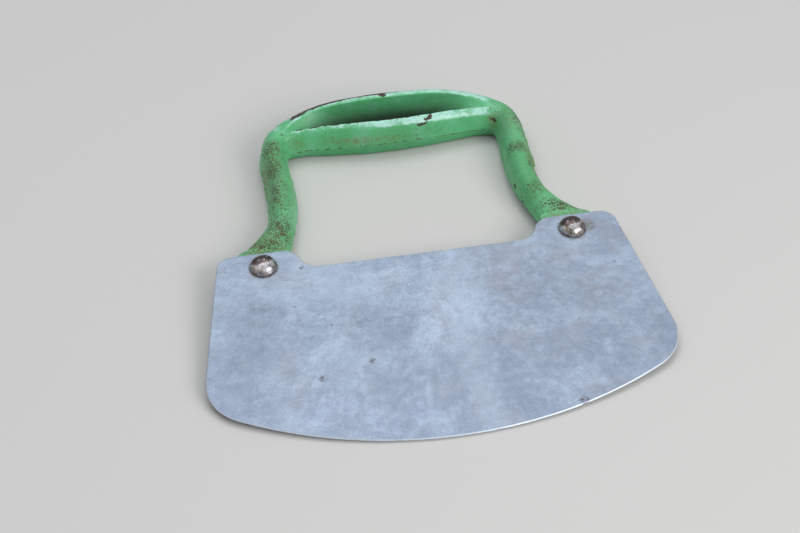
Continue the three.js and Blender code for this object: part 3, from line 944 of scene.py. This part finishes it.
def blade_steel():
    g = Graph("mottled_stainless")
    cloud = g.step(g.noise(24, 4, 0.6, warp=0.5), 0.38, 0.62)
    middle = g.step(g.noise(80, 7, 0.72, warp=0.3), 0.38, 0.62)
    small = g.step(g.noise(330, 6, 0.72), 0.36, 0.64)
    grain = g.step(g.noise(1300, 3, 0.6), 0.35, 0.65)
    tone = g.math("MULTIPLY_ADD", cloud, 0.14, g.math("MULTIPLY_ADD", middle, 0.34, -0.01))
    tone = g.math("MULTIPLY_ADD", small, 0.28, tone)
    tone = g.math("MULTIPLY_ADD", grain, 0.24, tone)
    steel = g.mix(tone, rgb(0.256, 0.309, 0.404), rgb(0.432, 0.507, 0.616))
    adrift = g.warped(0.030, 45)
    bright = g.patches(BRIGHT_PATCHES, adrift)
    steel = g.mix(g.math("MULTIPLY", bright, 0.40), steel, rgb(0.450, 0.530, 0.645))
    dull = g.patches(DULL_PATCHES, adrift)
    dull = g.math("MULTIPLY", dull, g.step(middle, 0.0, 1.0, 0.40, 1.0))
    mottle = g.step(g.noise(240, 8, 0.80), 0.38, 0.60, 0.45, 1.15)
    dull = g.math("MULTIPLY", dull, mottle, clamp=True)
    steel = g.mix(g.math("MULTIPLY", dull, 0.86), steel, rgb(0.205, 0.234, 0.302))
    split = g.nodes.new("ShaderNodeSeparateXYZ")
    g.put(g.warped(0.02, 30), split.inputs[0])
    low = g.step(split.outputs["Y"], laid(0, 62).y, laid(0, 14).y, 0.0, 0.42)
    steel = g.mix(low, steel, rgb(0.245, 0.288, 0.375))
    warm = g.step(g.noise(48, 7, 0.72, warp=0.3), 0.50, 0.66, 0.0, 0.60)
    steel = g.mix(warm, steel, rgb(0.300, 0.318, 0.360))
    streak_left = g.across(laid(3, 0).x, laid(9, 0).x)
    streak_right = g.across(laid(19, 0).x, laid(14, 0).x)
    streak = g.math("MULTIPLY", streak_left, streak_right)
    steel = g.mix(g.math("MULTIPLY", streak, 0.30), steel, rgb(0.400, 0.468, 0.560))
    ragged = g.warped(0.0035, 160)
    distance, pick = g.cells(170, place=ragged)
    patchy = g.math("MULTIPLY", g.step(g.noise(40, 3, 0.5), 0.44, 0.56), g.across(0.0, 0.03))
    mark = g.math("MULTIPLY", g.step(distance, 0.34, 0.26), g.step(pick, 0.50, 0.54))
    mark = g.math("MULTIPLY", mark, patchy)
    steel = g.mix(g.math("MULTIPLY", mark, 0.40), steel, rgb(0.380, 0.450, 0.550))
    dots, chosen = g.cells(420)
    freckle = g.math("MULTIPLY", g.step(dots, 0.17, 0.09), g.step(chosen, 0.80, 0.83))
    steel = g.mix(g.math("MULTIPLY", freckle, 0.40), steel, rgb(0.16, 0.14, 0.14))
    scratches = 0.0
    for turn, scale in ((0.35, 90), (1.25, 70), (2.2, 110)):
        line = g.step(g.noise(scale, 2, 0.4, g.stretched((1, 26, 1), turn)), 0.735, 0.760)
        scratches = g.math("MAXIMUM", scratches, line)
    steel = g.mix(g.math("MULTIPLY", scratches, 0.30), steel, rgb(0.46, 0.52, 0.60))
    rust = 0.0
    for x, y, radius in RUST_MARKS:
        rust = g.math("MAXIMUM", rust, g.spot(laid(x, y), radius * MM, 0.7))
    rust = g.math("MULTIPLY", rust, g.step(g.noise(900, 4, 0.7), 0.40, 0.60))
    rings = 0.0
    for side in (-1, 1):
        ring = g.spot(laid(side * RIVET_X, RIVET_Y), (HEAD_RADIUS + 0.40) * MM, 0.08)
        rings = g.math("MAXIMUM", rings, ring)
    residue = g.spot(laid(RIVET_X + HEAD_RADIUS + 0.3, RIVET_Y + 0.5), 2.9 * MM, 0.5)
    rings = g.math("MAXIMUM", rings, residue)
    rings = g.math("MULTIPLY", rings, g.step(g.noise(1100, 4, 0.7), 0.38, 0.60))
    steel = g.mix(g.math("MULTIPLY", rust, 0.85), steel, rgb(0.090, 0.048, 0.032))
    steel = g.mix(g.math("MULTIPLY", rings, 0.80), steel, rgb(0.125, 0.095, 0.045))
    # Painted highlight: the ground bevel is made pale and partly non-metallic so it shows as a bright
    # line along the cutting edge.
    ground = g.attribute("ground")
    steel = g.mix(g.math("MULTIPLY", ground, 0.85), steel, rgb(0.60, 0.66, 0.74))
    corroded = g.math("MAXIMUM", rust, rings)
    rough = g.math("ADD", g.step(tone, 0.2, 0.9, 0.48, 0.38), g.math("MULTIPLY", corroded, 0.35))
    waves = g.bump(g.noise(75, 2), 0.0006, 0.10)
    rolled = g.bump(g.noise(1300, 3), 0.00004, 0.35, waves)
    plain = g.math("MAXIMUM", corroded, g.math("MULTIPLY", ground, 0.65))
    g.set(Base_Color=steel, Roughness=rough, Normal=rolled, Metallic=g.math("SUBTRACT", 1.0, plain))
    return g.material


def rivet_steel():
    g = Graph("tarnished_rivet_steel")
    patch = g.step(g.noise(420, 5, 0.65, warp=0.5), 0.40, 0.62)
    steel = g.mix(patch, rgb(0.82, 0.80, 0.82), rgb(0.20, 0.16, 0.16))
    gold = g.step(g.noise(520, 4, 0.6), 0.52, 0.62, 0.0, 0.60)
    steel = g.mix(gold, steel, rgb(0.52, 0.42, 0.22))
    tarnish_and_dark_reflection = 0.0
    skirt = 1.0
    # Dark brown over the top and middle of each dome: partly tarnish, partly a painted dark reflection.
    for side in (-1, 1):
        crown = laid(side * RIVET_X - 0.9, RIVET_Y + 2.3, 3.6)
        tarnish_and_dark_reflection = g.math("MAXIMUM", tarnish_and_dark_reflection, g.spot(crown, 4.3 * MM, 0.16))
        top = laid(side * RIVET_X, RIVET_Y, GAP + HEAD_HEIGHT + 1.0)
        skirt = g.math("MULTIPLY", skirt, g.spot(top, 6.45 * MM, 0.04, inside=0.0))
    tarnish_and_dark_reflection = g.math("MULTIPLY", tarnish_and_dark_reflection, g.step(g.noise(560, 5, 0.7), 0.36, 0.46))
    steel = g.mix(g.math("MULTIPLY", tarnish_and_dark_reflection, 0.90), steel, rgb(0.075, 0.046, 0.048))
    rusty = g.math("MULTIPLY", skirt, g.step(g.noise(900, 4, 0.65), 0.30, 0.52))
    steel = g.mix(g.math("MULTIPLY", rusty, 0.85), steel, rgb(0.170, 0.070, 0.030))
    rough = g.step(patch, 0.0, 1.0, 0.20, 0.30)
    rough = g.math("ADD", rough, g.math("MULTIPLY", rusty, 0.4))
    dents = g.bump(g.noise(420, 3, 0.5), 0.00014, 0.40)
    pits = g.bump(g.noise(1500, 4, 0.7), 0.00005, 0.35, dents)
    metallic = g.math("SUBTRACT", 1.0, g.math("MULTIPLY", rusty, 0.8))
    g.set(Base_Color=steel, Roughness=rough, Normal=pits, Metallic=metallic)
    return g.material


# ---- stage -----------------------------------------------------------------------------------
def pale_floor():
    bpy.ops.mesh.primitive_plane_add(size=6.0, location=(0, 0, 0))
    floor = bpy.context.object
    floor.name = "floor"
    g = Graph("pale_floor")
    tone = g.mix(g.noise(2.0, 2), rgb(0.60, 0.59, 0.57), rgb(0.63, 0.62, 0.60))
    g.set(Base_Color=tone, Roughness=0.75)
    floor.data.materials.append(g.material)


def soft_box(name, place, size, power, colour):
    light = bpy.data.lights.new(name, "AREA")
    light.shape = "RECTANGLE"
    light.size, light.size_y = size
    light.energy = power
    light.color = colour
    box = bpy.data.objects.new(name, light)
    box.location = place
    box.rotation_euler = (-Vector(place)).to_track_quat("-Z", "Y").to_euler()
    bpy.context.scene.collection.objects.link(box)


def overcast_sky():
    """An even sky: dim at the horizon, bright overhead."""
    world = bpy.data.worlds.new("overcast")
    world.use_nodes = True
    tree = world.node_tree
    place = tree.nodes.new("ShaderNodeTexCoord")
    split = tree.nodes.new("ShaderNodeSeparateXYZ")
    ramp = tree.nodes.new("ShaderNodeValToRGB")
    ramp.color_ramp.elements[0].position = 0.0
    ramp.color_ramp.elements[0].color = rgb(0.30, 0.31, 0.33)
    ramp.color_ramp.elements[1].position = 0.9
    ramp.color_ramp.elements[1].color = rgb(0.92, 0.96, 1.0)
    tree.links.new(place.outputs["Generated"], split.inputs[0])
    tree.links.new(split.outputs["Z"], ramp.inputs["Fac"])
    tree.links.new(ramp.outputs["Color"], tree.nodes["Background"].inputs["Color"])
    tree.nodes["Background"].inputs["Strength"].default_value = SKY_STRENGTH
    bpy.context.scene.world = world


def photo_camera():
    camera = bpy.data.cameras.new("camera")
    camera.lens = CAMERA_LENS
    camera.sensor_width = 36.0
    camera.clip_start = 0.01
    holder = bpy.data.objects.new("camera", camera)
    level = math.cos(CAMERA_ELEVATION)
    back = Vector((math.sin(CAMERA_AZIMUTH) * level, -math.cos(CAMERA_AZIMUTH) * level,
                   math.sin(CAMERA_ELEVATION)))
    aim = (-back).to_track_quat("-Z", "Y").to_matrix().to_4x4()
    turned = aim @ Matrix.Rotation(CAMERA_ROLL, 4, "Z")
    holder.matrix_world = Matrix.Translation(CAMERA_AIM + back * CAMERA_DISTANCE) @ turned
    bpy.context.scene.collection.objects.link(holder)
    bpy.context.scene.camera = holder


def finish_piece(piece, node, material):
    piece.data.materials.clear()
    piece.data.materials.append(material)
    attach(piece, "root")
    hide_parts(node)


photo_camera()
pale_floor()
overcast_sky()
soft_box("key", (0.70, -0.90, 0.72), (0.85, 0.60), 10.0, (1.0, 0.99, 0.97))
soft_box("overhead", (-0.10, 0.45, 1.20), (1.1, 0.6), 4.5, (0.97, 0.99, 1.0))
bpy.context.scene.view_settings.view_transform = "Standard"

handle = cast_handle()
paint_masks(handle)
finish_piece(handle, "handle", green_enamel())
finish_piece(steel_blade(), "blade", blade_steel())
rivet_look = rivet_steel()
finish_piece(dome_rivet(-1, "left_dome_rivet", 3.1), "left_rivet", rivet_look)
finish_piece(dome_rivet(1, "right_dome_rivet", 8.4), "right_rivet", rivet_look)
